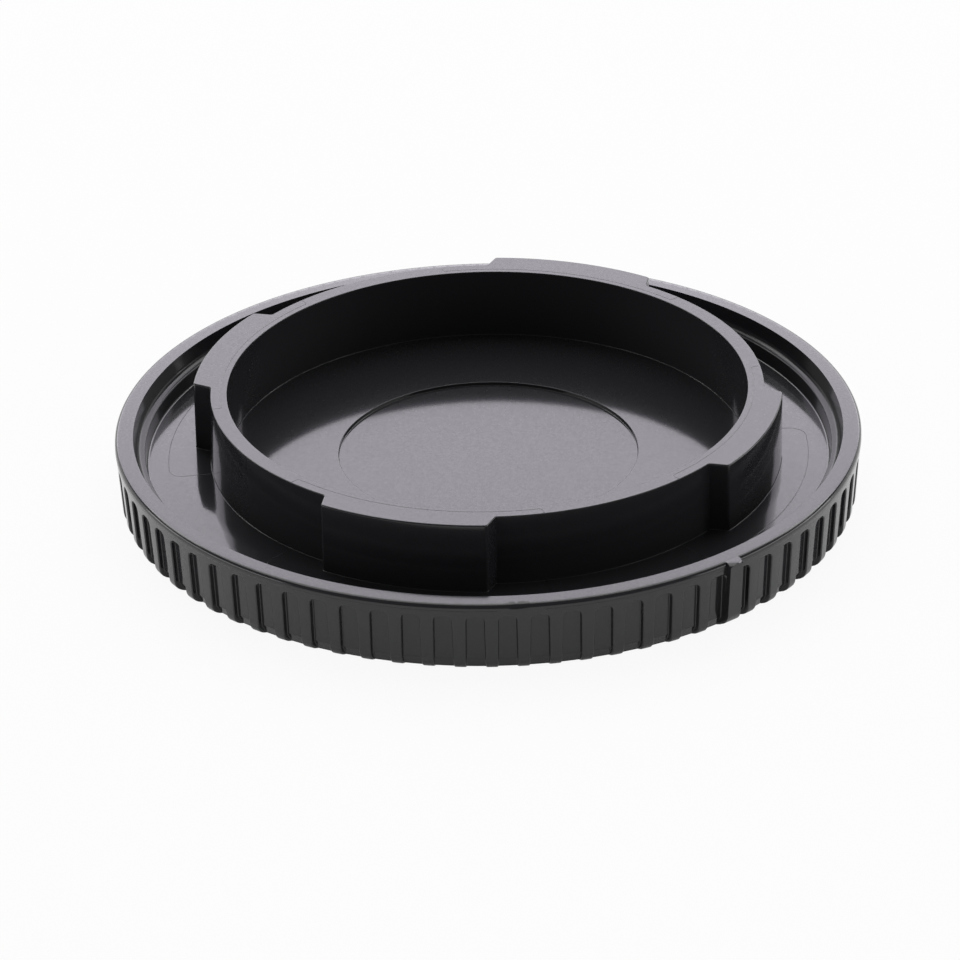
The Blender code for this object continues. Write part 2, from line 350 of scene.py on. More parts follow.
# Roundings at the top and the foot of the middle recess's wall, and how far that wall leans.
CENTRE_EDGE = 0.05 * MM
CENTRE_ROOT = 0.06 * MM
CENTRE_LEAN = 0.02 * MM
# A lug's upper edge is rounded by this much of its corner's radius at most.
CORNER_SHARE = 0.8


def inside_rows(size):
    """Rows from the middle of the plate, over the ring and through the channel, to the rim's top.

    Rows on the ring follow its outline in plan, offset along the outline's normal. All the others
    are circles. The columns start at the grip's first rib.
    """
    columns = size.pocket_count * INNER_COLUMNS_PER_POCKET
    points, normals, share = ring_outline(size, columns)
    turn = np.arctan2(points[:, 1], points[:, 0])
    start = size.pocket_first - math.pi / size.pocket_count
    gap = np.angle(np.exp(1j * (turn - start)))
    first = int(np.argmin(np.abs(gap)))
    outline = points, normals, share, turn
    points, normals, share, turn = (np.roll(each, -first, axis=0) for each in outline)
    turn = np.unwrap(turn) + round((start - turn[0]) / math.tau) * math.tau
    even = start + np.arange(columns) * math.tau / columns
    floor = size.rim_height - size.channel_depth
    top = ring_top(size)
    bore = size.ring_radius - size.ring_wall
    centre = floor - size.centre_depth
    rows = []
    plate = section([
        (0, centre, 0),
        (size.centre_radius, centre, CENTRE_ROOT),
        (size.centre_radius + CENTRE_LEAN, floor, CENTRE_EDGE),
        (bore, floor, size.ring_foot),
        (bore, top, size.ring_edge),
        (size.ring_radius, top, 0),
    ], ARC_STEPS)
    rows.append(ring_of(size.centre_radius / 3, turn, centre))
    rows.append(ring_of(size.centre_radius * 2 / 3, turn, centre))
    rows.extend(ring_of(radius, turn, height) for radius, height in plate)
    lug_edge = min(size.lug_edge, size.lug_corner * CORNER_SHARE)
    edge = size.ring_edge + (lug_edge - size.ring_edge) * share
    # The rounded upper edge, a quarter circle from the flat top into the wall.
    for step in ramp(0, math.pi / 2, ARC_STEPS + 1):
        inset = edge * (1 - np.sin(step))
        drop = edge * (1 - np.cos(step))
        plan = points - normals * inset[:, None]
        rows.append(np.column_stack([plan, top - drop]))
    # The wall's foot. The ring's own wall is drafted and the lugs' walls are upright.
    wide = (1 - share) * math.tan(size.ring_draft)
    for step in ramp(0, math.pi / 2, ARC_STEPS):
        height = np.full(wide.shape, floor + size.ring_foot * (1 - np.sin(step)))
        offset = (top - height) * wide + size.ring_foot * (1 - np.cos(step))
        rows.append(np.column_stack([points + normals * offset[:, None], height]))
    channel = channel_corners(size)
    run = section([
        (*channel[0], 0),
        (fall_start(size), channel[0][1], FALL_ROUNDING),
        (*channel[1], size.channel_corner),
        (*channel[2], size.ledge_edge),
        (*channel[3], size.ledge_root),
        (*channel[4], size.land_edge),
        (channel[4][0] + size.rim_land, size.rim_height - size.land_fall, 0),
    ], ARC_STEPS)
    rows.extend(ring_of(radius, even, height) for radius, height in run)
    land_middle = channel[4][0] + size.rim_land / 2
    rows.append(ring_of(land_middle, even, size.rim_height - size.land_fall / 2))
    return rows


def pocket_levels(size):
    """Offsets from a pocket's outline, and the depth there: rib edge, wall and floor fillet."""
    flare = math.tan(size.pocket_flare)
    deep = size.pocket_depth - size.rib_foot
    half = math.sin(math.pi / 4)
    offsets = np.array([
        size.rib_edge,
        size.rib_edge * (1 - half),
        0,
        -(deep - size.rib_edge) * flare,
        -(deep - size.rib_edge) * flare - size.rib_foot * (1 - half),
        -(deep - size.rib_edge) * flare - size.rib_foot,
    ])
    depths = np.array([
        0,
        size.rib_edge * (1 - half),
        size.rib_edge,
        deep,
        size.pocket_depth - size.rib_foot * (1 - half),
        size.pocket_depth,
    ])
    return offsets, depths


# How much of the gate's scar each row takes, from the rim's top over its rounded edge to its side.
SCAR_ROWS = (0, 0.6, 1, 1, 1, 1, 0)
SCAR_STEEPNESS = 1.4
# Distance of a row that only holds the end of a rounding.
ROW_GAP = 0.05 * MM
# Rows above and below the crease in a pocket's floor, and where the rows of its chamfer start.
ABOVE_CREASE = 0.06 * MM
BELOW_CREASE = 0.02 * MM
CHAMFER_START = 0.1 * MM
# Keeps a division and a comparison of lengths safe from rounding.
TINY = 1e-9


def scar_drop(size, row, reach):
    """How far the scar of the cut gate lowers each point of a row.

    The gate's depth times a hump that is cut at 1, which gives a flat bottom: 1.4 times one less
    the fourth power of the distance from the scar's middle over half its width.
    """
    turn = np.arctan2(row[:, 1], row[:, 0]) - size.gate_angle
    away = np.angle(np.exp(1j * turn)) * reach
    hump = SCAR_STEEPNESS * (1 - (2 * away / size.gate_width) ** 4)
    return size.gate_depth * np.clip(hump, 0, 1)


def grip_rows(size):
    """Rows of the rim's edge and side, with the grip's pockets.

    One pocket's cell has columns from a rib's middle to the next, placed on both sides of the
    pocket's outline. Round the pocket's upper corners the cell's straight lines become arcs: a
    point at (a, b) from the arc's centre goes to the distance max(a, b), at an angle of 45 degrees
    times the smaller over the larger. The depth at a point follows from its distance to the outline.
    """
    offsets, depths = pocket_levels(size)
    radius = size.pocket_corner
    top = size.rim_height - size.pocket_gap
    half = size.pocket_top / 2
    pitch = math.tau / size.pocket_count
    knee = top - radius
    across = np.concatenate([radius + offsets, [radius / 3, 0]])
    rib = pitch * rim_radius(size) / 2

    def cell(wide):
        """Distances of the columns from the pocket's middle, at a half width."""
        side = wide - radius + across
        return np.concatenate([[-rib], -side, [0], side[::-1]])

    def depth_at(distance):
        """Depth at a distance from the centre of the corner's arc."""
        return np.interp(distance, (radius + offsets)[::-1], depths[::-1])

    rows = []
    centres = size.pocket_first + np.arange(size.pocket_count) * pitch

    def add(x, height, reach):
        """Adds one row, the cell repeated round the rim."""
        turn = centres[:, None] + (x / side_radius(size, size.rim_height))[None, :]
        reach, height = (np.tile(each, size.pocket_count) for each in (reach, height))
        rows.append(ring_of(reach, turn.ravel(), height))

    x = cell(half)
    brim = size.rim_height - size.land_fall
    edge = section([
        (rim_radius(size) - size.rim_land, size.rim_height, 0),
        (side_radius(size, brim), brim, size.rim_edge),
        (side_radius(size, 0), 0, 0),
    ], ARC_STEPS)
    start = edge[-1][1]
    above = (start + top + size.rib_edge) / 2
    below = [(side_radius(size, height), height) for height in (start - ROW_GAP, above)]
    for (reach, height), share in zip([*edge, *below], SCAR_ROWS):
        add(x, np.full(x.shape, height), np.full(x.shape, reach))
        rows[-1][:, 2] -= share * scar_drop(size, rows[-1], reach)
    for level in across:
        height = np.full(x.shape, knee + level)
        a = np.abs(x) - (half - radius)
        b = height - knee
        far = np.maximum(a, b)
        near = np.minimum(a, b)
        bent = (near > 0) & (far < radius + size.rib_edge + TINY)
        bend = np.where(bent, near / np.maximum(far, TINY), 0) * math.pi / 4
        across_first = a >= b
        new_a = np.where(bend > 0, far * np.where(across_first, np.cos(bend), np.sin(bend)), a)
        new_b = np.where(bend > 0, far * np.where(across_first, np.sin(bend), np.cos(bend)), b)
        new_x = np.sign(x) * (half - radius + new_a)
        new_height = knee + new_b
        add(new_x, new_height, side_radius(size, new_height) - depth_at(far))
    share = depth_at(np.abs(x) - (half - radius)) / size.pocket_depth
    slope = (size.pocket_foot / 2 - half) / knee
    crease = size.crease_height
    # One row part way down the straight walls, and one just over the front's rounded edge.
    for height in (knee * 0.6 + crease * 0.4, size.front_edge + ROW_GAP):
        wide = half + (knee - height) * slope
        reach = side_radius(size, height) - size.pocket_depth * share
        add(cell(wide), np.full(x.shape, height), reach)
    foot = section([
        (side_radius(size, size.rim_height), size.rim_height, 0),
        (side_radius(size, 0), 0, size.front_edge),
        (0, 0, 0),
    ], ARC_STEPS + 2)
    floor_top = side_radius(size, crease) - size.pocket_depth
    # The pocket's floor runs upright to the crease, and from there leans in to the front face.
    chamfer = (crease - CHAMFER_START) * (1 - ramp(0, 1, len(foot) - 3)[1:])
    floor_heights = np.concatenate([[crease + ABOVE_CREASE, crease - BELOW_CREASE], chamfer, [0]])
    floor_reach = floor_top - np.clip(crease - floor_heights, 0, None) / crease * size.crease_depth
    for (reach, height), floor_height, floor in zip(foot, floor_heights, floor_reach):
        wide = half + (knee - height) * slope
        add(cell(wide), height + (floor_height - height) * share, reach + (floor - reach) * share)
    last = foot[-1][0] - size.crease_depth
    add(cell(size.pocket_foot / 2), np.zeros(x.shape), np.full(x.shape, last))
    return rows


# Roundings at the edge and the root of the front's dish, and how far its wall leans.
DISH_EDGE = 0.1 * MM
DISH_ROOT = 0.2 * MM
DISH_LEAN = 0.05 * MM


def front_rows(size):
    """Circles of the front face: flat border, rounded step and the dish, towards the middle."""
    columns = size.pocket_count * INNER_COLUMNS_PER_POCKET
    start = size.pocket_first - math.pi / size.pocket_count
    even = start + np.arange(columns) * math.tau / columns
    dish = side_radius(size, 0) - size.front_border
    run = section([
        (rim_radius(size), 0, 0),
        (dish + size.front_border / 2, 0, 0),
        (dish, 0, DISH_EDGE),
        (dish - DISH_LEAN, size.dish_depth, DISH_ROOT),
        (dish / 2, size.dish_depth, 0),
        (0, size.dish_depth, 0),
    ], ARC_STEPS)
    return [ring_of(radius, even, height) for radius, height in run]


def bridge(first, second, count, following):
    """Faces between two closed rows, as arrays of vertex numbers.

    Rows of the same count give quads. A row with twice the columns gives three triangles for each
    column of the other, and a row of one point gives a fan.
    """
    here = np.arange(count if following in (1, count, 2 * count) else following)
    after = (here + 1) % len(here)
    if count == following:
        return [np.stack([first + here, second + here, second + after, first + after], 1)]
    if count == 1:
        return [np.stack([np.full(following, first), second + here, second + after], 1)]
    if following == 1:
        return [np.stack([first + here, np.full(count, second), first + after], 1)]
    left, middle, right = 2 * here, 2 * here + 1, 2 * after
    if following == 2 * count:
        return [
            np.stack([first + here, second + left, second + middle], 1),
            np.stack([first + here, second + middle, first + after], 1),
            np.stack([first + after, second + middle, second + right], 1),
        ]
    return [
        np.stack([first + left, second + here, first + middle], 1),
        np.stack([first + middle, second + here, second + after], 1),
        np.stack([first + middle, second + after, first + right], 1),
    ]


def mesh_of(name, points, faces):
    """A mesh from an array of points and a list of face arrays."""
    mesh = bpy.data.meshes.new(name)
    mesh.vertices.add(len(points))
    mesh.vertices.foreach_set("co", points.astype(np.float32).ravel())
    sizes = np.concatenate([np.full(len(each), each.shape[1]) for each in faces])
    corners = np.concatenate([each.ravel() for each in faces])
    mesh.loops.add(len(corners))
    mesh.loops.foreach_set("vertex_index", corners.astype(np.int32))
    mesh.polygons.add(len(sizes))
    mesh.polygons.foreach_set("loop_start", (np.cumsum(sizes) - sizes).astype(np.int32))
    mesh.update(calc_edges=True)
    mesh.validate()
    return mesh


def cap_mesh(size):
    """The whole cap as one closed surface, a stack of closed rows between two poles."""
    floor = size.rim_height - size.channel_depth - size.centre_depth
    rows = [np.array([[0, 0, floor]])]
    rows += inside_rows(size) + grip_rows(size) + front_rows(size)
    rows.append(np.array([[0, 0, size.dish_depth]]))
    counts = [len(row) for row in rows]
    starts = np.cumsum([0] + counts)
    faces = []
    for index in range(len(rows) - 1):
        faces += bridge(starts[index], starts[index + 1], counts[index], counts[index + 1])
    return mesh_of("cap", np.concatenate(rows), faces)


# How far the index rib's top stays under the rim's, the room left behind its rounded foot, and the
# steps of that rounding.
RIB_TOP_GAP = 0.01 * MM
RIB_ROOM = 0.03 * MM
RIB_STEPS = 8


def index_rib_mesh(size):
    """The index rib: a bar whose outer face follows the side, with its top cut to a point.

    The side view is a column of (reach, height) points, used at both halves of the width.
    """
    top = size.rim_height - size.land_fall - RIB_TOP_GAP
    foot = side_radius(size, 0) + size.index_proud
    channel = channel_corners(size)
    buried = (channel[-1][0] + side_radius(size, 0) - size.pocket_depth) / 2
    radius = min(size.front_edge + size.index_proud, foot - buried - RIB_ROOM)
    arc = section([
        (side_radius(size, top) + size.index_proud, top, 0),
        (foot, size.index_rise, radius),
        (buried, size.index_rise, 0),
    ], RIB_STEPS)
    drop = top - size.index_drop
    side = np.array([
        (buried, top),
        (side_radius(size, top), top),
        (side_radius(size, drop) + size.index_proud, drop),
        *arc,
        (buried, size.index_rise),
    ])
    count = len(side)
    half = np.full((count, 1), size.index_width / 2)
    left = np.hstack([side[:, :1], half, side[:, 1:]])
    right = left * (1, -1, 1)
    point = np.array([[side_radius(size, top) + size.index_proud, 0, top]])
    points = np.concatenate([left, right, point])
    points[:, :2] = turned(points[:, :2], size.index_angle)
    tip = 2 * count
    here = np.arange(3, count - 1)
    faces = [
        np.arange(count)[None, ::-1],
        count + np.arange(count)[None, :],
        np.array([[1, 2, tip], [count + 2, count + 1, tip]]),
        np.array([[0, 1, tip, count + 1, count]]),
        np.array([[tip, 2, 3, count + 3, count + 2]]),
        np.stack([here, here + 1, count + here + 1, count + here], 1),
        np.array([[count - 1, 0, count, 2 * count - 1]]),
    ]
    return mesh_of("index_rib", points, [each[:, ::-1] for each in faces])


def ridge(path, up, width, height):
    """Points and faces of a fine ridge: a flat triangle carried along a path, with its ends closed.

    The path's points lie on the surface and up holds the surface's normals. The triangle's foot
    lies as deep under the surface as its crest stands over it.
    """
    across = np.cross(np.gradient(path, axis=0), up)
    across /= np.linalg.norm(across, axis=1)[:, None]
    foot = path - up * height
    rows = np.stack([foot + across * width / 2, path + up * height, foot - across * width / 2], 1)
    here = 3 * np.arange(len(path) - 1)[:, None] + np.arange(3)[None, :]
    after = 3 * np.arange(len(path) - 1)[:, None] + np.array([1, 2, 0])[None, :]
    sides = np.stack([here, here + 3, after + 3, after], 2).reshape(-1, 4)
    last = 3 * (len(path) - 1)
    return rows.reshape(-1, 3), [sides, np.array([[0, 1, 2], [last + 2, last + 1, last]])]


# Corners of the inserts' lines on the ring's top and on the floor, how far the lines stay from the
# ring's edge and foot, and the steps of a corner and of the lines.
TOP_CORNER = 0.3 * MM
FLOOR_CORNER = 1.2 * MM
LINE_GAP = 0.1 * MM
LINE_CORNER_STEPS = 8
INSERT_STEPS = 160
PARTING_STEPS = 480


def insert_line(size, middle, inner, outer, height, rounding):
    """Path of a lug insert's outline at a height: out from the ring, round the lug and back.

    It is a rounded box in the plane of radius and arc length, with its points spread evenly.
    """
    low = -size.insert_low * outer
    high = size.insert_high * outer
    corners = [(inner, low, 0), (outer, low, rounding), (outer, high, rounding), (inner, high, 0)]
    arcs = section(corners, LINE_CORNER_STEPS)
    run = np.concatenate([[(inner, low)], arcs, [(inner, high)]])
    along = np.append(0, np.cumsum(np.linalg.norm(np.diff(run, axis=0), axis=1)))
    even = ramp(0, along[-1], INSERT_STEPS)
    turn = middle + np.interp(even, along, run[:, 1]) / outer
    return ring_of(np.interp(even, along, run[:, 0]), turn, height)


def line_mesh(size):
    """The fine ridges that the mould's joints leave: round each lug's insert, and round the rim.

    Real ones are usually a few hundredths of a millimetre wide, too fine to show in the render, so
    these are drawn as wide as they need to be to show.
    """
    channel = channel_corners(size)
    edge = size.ring_radius - LINE_GAP
    foot = channel[0][0] + LINE_GAP
    slope = size.channel_fall / (channel[1][0] - fall_start(size))
    up = np.array([0, 0, 1])
    runs = []
    for middle in LUG_ANGLES:
        on_top = insert_line(size, middle, edge, size.insert_inner, ring_top(size), TOP_CORNER)
        on_floor = insert_line(size, middle, foot, size.insert_outer, channel[0][1], FLOOR_CORNER)
        beyond = np.linalg.norm(on_floor[:, :2], axis=1) - fall_start(size)
        on_floor[:, 2] -= slope * np.clip(beyond, 0, None)
        runs += [(on_top, up), (on_floor, up)]
    turn = ramp(size.gap_end, size.gap_start + math.tau, PARTING_STEPS)
    height = size.rim_height - size.parting_drop
    round_rim = ring_of(side_radius(size, height), turn, height)
    runs.append((round_rim, ring_of(1, turn, 0.0)))
    points, faces = [], []
    start = 0
    for path, normal in runs:
        new, sides = ridge(path, normal, size.line_width, size.line_height)
        points.append(new)
        faces += [each + start for each in sides]
        start += len(new)
    return mesh_of("mould_lines", np.concatenate(points), faces)


# Faces that turn less than this from each other are shaded as one.
SHADE_LIMIT = math.radians(50)


def shade_corners(mesh, limit):
    """Smooths the shading over rounded corners and leaves flats flat.

    The normal at a face's corner is the sum of the normals of the faces there that turn less than
    the limit from it, each weighted by its squared area.
    """
    count = len(mesh.loops)
    faces = len(mesh.polygons)
    corner_vertex = np.empty(count, np.int32)
    mesh.loops.foreach_get("vertex_index", corner_vertex)
    sizes = np.empty(faces, np.int32)
    mesh.polygons.foreach_get("loop_total", sizes)
    corner_face = np.repeat(np.arange(faces), sizes)
    normals = np.empty(faces * 3, np.float32)
    mesh.polygons.foreach_get("normal", normals)
    normals = normals.reshape(-1, 3).astype(float)
    areas = np.empty(faces, np.float32)
    mesh.polygons.foreach_get("area", areas)
    order = np.argsort(corner_vertex, kind="stable")
    vertex = corner_vertex[order]
    face = corner_face[order]
    around = np.bincount(vertex)
    first = np.cumsum(around) - around
    repeats = around[vertex]
    one = np.repeat(np.arange(count), repeats)
    starts = np.cumsum(repeats) - repeats
    two = np.arange(repeats.sum()) - np.repeat(starts, repeats) + first[vertex[one]]
    alike = (normals[face[one]] * normals[face[two]]).sum(1) > math.cos(limit)
    weight = alike * (areas[face[two]].astype(float) / areas.mean()) ** 2
    total = [np.bincount(one, weight * normals[face[two], axis], count) for axis in range(3)]
    total = np.stack(total, 1)
    result = np.empty_like(total)
    result[order] = total / np.linalg.norm(total, axis=1)[:, None]
    mesh.normals_split_custom_set(result.tolist())


def add_object(name, data):
    """A new object in the scene, for a mesh, a lamp or a camera."""
    obj = bpy.data.objects.new(name, data)
    bpy.context.scene.collection.objects.link(obj)
    return obj


# Settings of a node that multiplies.
TIMES = {"operation": 'MULTIPLY'}


def add_node(tree, kind, settings=None, **links):
    """Adds a node, sets its properties and sockets, and links its sockets.

    A link names its socket by number after an underscore, or by name.
    """
    node = tree.nodes.new(kind)
    for name, value in (settings or {}).items():
        if isinstance(name, int) or name in node.inputs:
            node.inputs[name].default_value = value
        else:
            setattr(node, name, value)
    for name, source in links.items():
        number = name[1:]
        key = int(number) if number.isdigit() else name.replace("_", " ")
        tree.links.new(source, node.inputs[key])
    return node


PLASTIC = "moulded_black_abs"
ABS_INDEX = 1.54
# Width of the skin's slow waves and of its grain. Such a grain is usually finer, and is drawn this
# coarse so that it shows.
WAVE_WIDTH = 3.2 * MM
GRAIN_WIDTH = 0.22 * MM
# Levels of the noise that the grain starts and ends at, and the sheen's share there.
GRAIN_LEVELS = (0.3, 0.7)
GRAIN_SHEEN = (0.86, 1.04)
# Height over the foot of the channel's wall from which the sheen is weaker, a painted shade.
WALL_RISE = 0.02 * MM


def moulded_abs(finish, size):
    """Injection moulded ABS, dyed black through.

    The polished tool gives a skin that mirrors like still water, and the rubber in the plastic
    adds a faint haze round each highlight. The skin is never quite flat: slow waves where it
    shrank bend the mirrored edges, and a fine grain makes pale faces look a little uneven. The
    rim's inner walls, between the channel's floor and the rim's top, have a weaker sheen, a painted
    shade that darkens their reflections, which is matched to the photograph.
    """
    material = bpy.data.materials.new(PLASTIC)
    material.use_nodes = True
    tree = material.node_tree
    shader = tree.nodes["Principled BSDF"]
    shader.inputs["Base Color"].default_value = (*finish.plastic, 1)
    shader.inputs["Roughness"].default_value = finish.haze_roughness
    shader.inputs["IOR"].default_value = ABS_INDEX
    shader.inputs["Specular IOR Level"].default_value = finish.haze
    shader.inputs["Coat Roughness"].default_value = finish.skin_roughness
    shader.inputs["Coat IOR"].default_value = ABS_INDEX
    place = add_node(tree, "ShaderNodeTexCoord").outputs["Object"]
    # Painted shade, one on the rim's inner walls: at their radii, and above the channel's floor. There
    # the sheen is weaker, which darkens their reflections.
    channel = channel_corners(size)
    middle = (channel[1][0] + channel[4][0]) / 2
    reach = {"operation": 'COMPARE', 1: middle, 2: channel[4][0] - middle}
    above = {"operation": 'GREATER_THAN', 1: channel[1][1] + WALL_RISE}
    parts = add_node(tree, "ShaderNodeSeparateXYZ", None, Vector=place)
    plan = add_node(tree, "ShaderNodeVectorMath", {**TIMES, 1: (1, 1, 0)}, _0=place)
    radius = add_node(tree, "ShaderNodeVectorMath", {"operation": 'LENGTH'}, _0=plan.outputs[0])
    walls = add_node(tree, "ShaderNodeMath", reach, _0=radius.outputs["Value"])
    raised = add_node(tree, "ShaderNodeMath", above, _0=parts.outputs["Z"])
    inside = add_node(tree, "ShaderNodeMath", TIMES, _0=walls.outputs[0], _1=raised.outputs[0])
    skin = add_node(tree, "ShaderNodeMapRange", {"To Min": finish.skin, "To Max": finish.wall_shade_skin},
                    Value=inside.outputs[0])
    # The grain makes the sheen a little stronger or weaker.
    grain = add_node(tree, "ShaderNodeTexNoise", {"Scale": 1 / GRAIN_WIDTH, "Detail": 2.0},
                     Vector=place)
    levels = {"From Min": GRAIN_LEVELS[0], "From Max": GRAIN_LEVELS[1], "To Min": GRAIN_SHEEN[0],
              "To Max": GRAIN_SHEEN[1]}
    uneven = add_node(tree, "ShaderNodeMapRange", levels, Value=grain.outputs["Fac"])
    weight = add_node(tree, "ShaderNodeMath", TIMES, _0=skin.outputs["Result"],
                      _1=uneven.outputs["Result"])
    tree.links.new(weight.outputs[0], shader.inputs["Coat Weight"])
    waves = add_node(tree, "ShaderNodeTexNoise", {"Scale": 1 / WAVE_WIDTH, "Detail": 2.0},
                     Vector=place)
    height = add_node(tree, "ShaderNodeBump", {"Strength": 1.0, "Distance": finish.ripple},
                      Height=waves.outputs["Fac"])
    tree.links.new(height.outputs["Normal"], shader.inputs["Normal"])
    tree.links.new(height.outputs["Normal"], shader.inputs["Coat Normal"])
    return material


class CAP_OT_moulding(bpy.types.Operator):
    """Makes the cap's moulded surface, in place of the plain solid"""

    bl_idname = "cap.moulding"
    bl_label = "Moulding"

    def execute(self, context):
        size = context.scene.cap_sizes
        cap = add_object("cap_moulding", cap_mesh(size))
        rib = add_object("index_rib", index_rib_mesh(size))
        join = cap.modifiers.new("index_rib", 'BOOLEAN')
        join.operation = 'UNION'
        join.solver = 'EXACT'
        join.object = rib
        graph = context.evaluated_depsgraph_get()
        mesh = bpy.data.meshes.new_from_object(cap.evaluated_get(graph))
        cap.modifiers.clear()
        cap.data = mesh
        bpy.data.objects.remove(rib)
        mesh.shade_smooth()
        shade_corners(mesh, SHADE_LIMIT)
        mesh.materials.clear()
        mesh.materials.append(moulded_abs(context.scene.cap_finish, size))
        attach(cap, BODY)
        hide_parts(NODE)
        return {'FINISHED'}


class CAP_OT_mould_lines(bpy.types.Operator):
    """Makes the fine ridges on the cap where the mould's parts met"""

    bl_idname = "cap.mould_lines"
    bl_label = "Mould lines"

    def execute(self, context):
        lines = add_object("mould_lines", line_mesh(context.scene.cap_sizes))
        lines.data.materials.append(bpy.data.materials[PLASTIC])
        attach(lines, BODY)
        return {'FINISHED'}


def area_lamp(name, place, aim, width, height, power, tint):
    """A rectangular soft lamp that faces its aim."""
    lamp = bpy.data.lights.new(name, 'AREA')
    lamp.shape = 'RECTANGLE'
    lamp.size = width
    lamp.size_y = height
    lamp.energy = power
    lamp.color = tint
    obj = add_object(name, lamp)
    obj.location = place
    obj.rotation_mode = 'QUATERNION'
    obj.rotation_quaternion = (Vector(aim) - Vector(place)).to_track_quat('-Z', 'Y')


# Painted shade in the floor's reflections: the white is dimmer in front of the cap and fades back to
# full towards its sides, and a painted shadow darkens it from under the rim's rounded edge to just
# outside it.
PAINTED_FRONT_SHADE = (-36 * MM, -14 * MM)
PAINTED_RIM_SHADOW = (28.9 * MM, 30.2 * MM)


def seen_white(name, paper, share, front=1.0, contact=1.0):
    """Matt white paper, of which the camera and glossy rays see a share as plain white.

    The rest of it takes the light and the cap's shadow. In front of the cap glossy rays see less
    white, which is painted shade, and less again under its rim, which is a painted shadow. The paper
    can be seen through from its back, so that the cap's front face shows from below.
    """
    material = bpy.data.materials.new(name)
    material.use_nodes = True
    tree = material.node_tree
    shader = tree.nodes["Principled BSDF"]
    shader.inputs["Base Color"].default_value = (*paper, 1)
    shader.inputs["Roughness"].default_value = 1
    shader.inputs["Specular IOR Level"].default_value = 0
    white = add_node(tree, "ShaderNodeEmission", {"Color": (1, 1, 1, 1), "Strength": 1.0})
    rays = add_node(tree, "ShaderNodeLightPath")
    place = add_node(tree, "ShaderNodeTexCoord").outputs["Object"]
    parts = add_node(tree, "ShaderNodeSeparateXYZ", None, Vector=place)
    # Painted shade: glossy rays see less of the floor's white in front of the cap, fading back to full
    # towards its sides.
    before = {"From Min": PAINTED_FRONT_SHADE[0], "From Max": PAINTED_FRONT_SHADE[1], "To Min": front}
    depth = add_node(tree, "ShaderNodeMapRange", before, Value=parts.outputs["Y"])
    radius = add_node(tree, "ShaderNodeVectorMath", {"operation": 'LENGTH'}, _0=place)
    # Painted shadow: glossy rays see less of the white under the rim's rounded edge, fading out just
    # outside it.
    under = {"From Min": PAINTED_RIM_SHADOW[0], "From Max": PAINTED_RIM_SHADOW[1], "To Min": contact}
    shadow = add_node(tree, "ShaderNodeMapRange", under, Value=radius.outputs["Value"])
    painted_shade = add_node(tree, "ShaderNodeMath", TIMES, _0=depth.outputs["Result"],
                   _1=shadow.outputs["Result"])
    glossy = add_node(tree, "ShaderNodeMath", TIMES, _0=rays.outputs["Is Glossy Ray"],
                      _1=painted_shade.outputs[0])
    seen = add_node(tree, "ShaderNodeMath", {"operation": 'MAXIMUM'},
                    _0=rays.outputs["Is Camera Ray"], _1=glossy.outputs[0])
    level = add_node(tree, "ShaderNodeMath", {**TIMES, 1: share}, _0=seen.outputs[0])
    mix = add_node(tree, "ShaderNodeMixShader", None, _0=level.outputs[0], _1=shader.outputs[0],
                   _2=white.outputs[0])
    clear = add_node(tree, "ShaderNodeBsdfTransparent")
    side = add_node(tree, "ShaderNodeNewGeometry")
    sheet = add_node(tree, "ShaderNodeMixShader", None, _0=side.outputs["Backfacing"],
                     _1=mix.outputs[0], _2=clear.outputs[0])
    tree.links.new(sheet.outputs[0], tree.nodes["Material Output"].inputs["Surface"])
    return material


# The floor's half width and the sweep's size, in metres. The sweep is part of a cylinder round the
# cap's axis, between two angles.
FLOOR_HALF = 4.0
SWEEP_RADIUS = 1.7
SWEEP_HEIGHT = 0.62
SWEEP_ANGLES = (math.radians(12), math.radians(168))
SWEEP_STEPS = 48
# Each lamp's name, place and aim, its width and height in metres, its power in watts and its tint.
LAMPS = (
    ("back_softbox", (0, 1.0, 0.52), (0, 0, 0.02), 1.3, 0.5, 5.8, (0.95, 0.9, 1.0)),
    ("top_softbox", (0, 0.5, 0.95), (0, 0, 0), 1.2, 0.9, 6, (1, 1, 1)),
    ("left_high_softbox", (-0.53, 0.64, 0.72), (0, 0, 0), 0.6, 0.2, 0.75, (1, 1, 1)),
    ("right_high_softbox", (0.53, 0.64, 0.72), (0, 0, 0), 0.6, 0.2, 0.75, (1, 1, 1)),
    ("left_softbox", (-1.0, 0.0, 0.24), (0, 0, 0), 1.1, 0.32, 2.5, (1, 1, 1)),
    ("right_softbox", (1.0, 0.0, 0.24), (0, 0, 0), 1.1, 0.32, 2.5, (1, 1, 1)),
)
# The point in plan that the camera looks at, in millimetres, level with the rim's top.
CAMERA_AIM = (-0.695, -9.448)


def floor_mesh():
    """The table's paper, one square on the plane that the cap lies on."""
    half = FLOOR_HALF
    corners = np.array([[-half, -half, 0], [half, -half, 0], [half, half, 0], [-half, half, 0]])
    return mesh_of("floor", corners, [np.array([[0, 1, 2, 3]])])


def sweep_mesh():
    """The upright paper behind the table: two rows of points round the axis and the quads between."""
    turn = ramp(*SWEEP_ANGLES, SWEEP_STEPS)
    foot = ring_of(SWEEP_RADIUS, turn, 0.0)
    top = ring_of(SWEEP_RADIUS, turn, SWEEP_HEIGHT)
    here = np.arange(SWEEP_STEPS)
    faces = np.stack([here + 1, here, SWEEP_STEPS + 1 + here, SWEEP_STEPS + 2 + here], 1)
    return mesh_of("sweep", np.concatenate([foot, top]), [faces])


def pale_world(strength):
    """Even light from all round, which the camera sees as plain white."""
    world = bpy.data.worlds.new("surroundings")
    world.use_nodes = True
    tree = world.node_tree
    back = tree.nodes["Background"]
    back.inputs["Color"].default_value = (1, 1, 1, 1)
    rays = add_node(tree, "ShaderNodeLightPath")
    level = add_node(tree, "ShaderNodeMapRange", {"To Min": strength, "To Max": 1.0},
                     Value=rays.outputs["Is Camera Ray"])
    tree.links.new(level.outputs["Result"], back.inputs["Strength"])
    return world


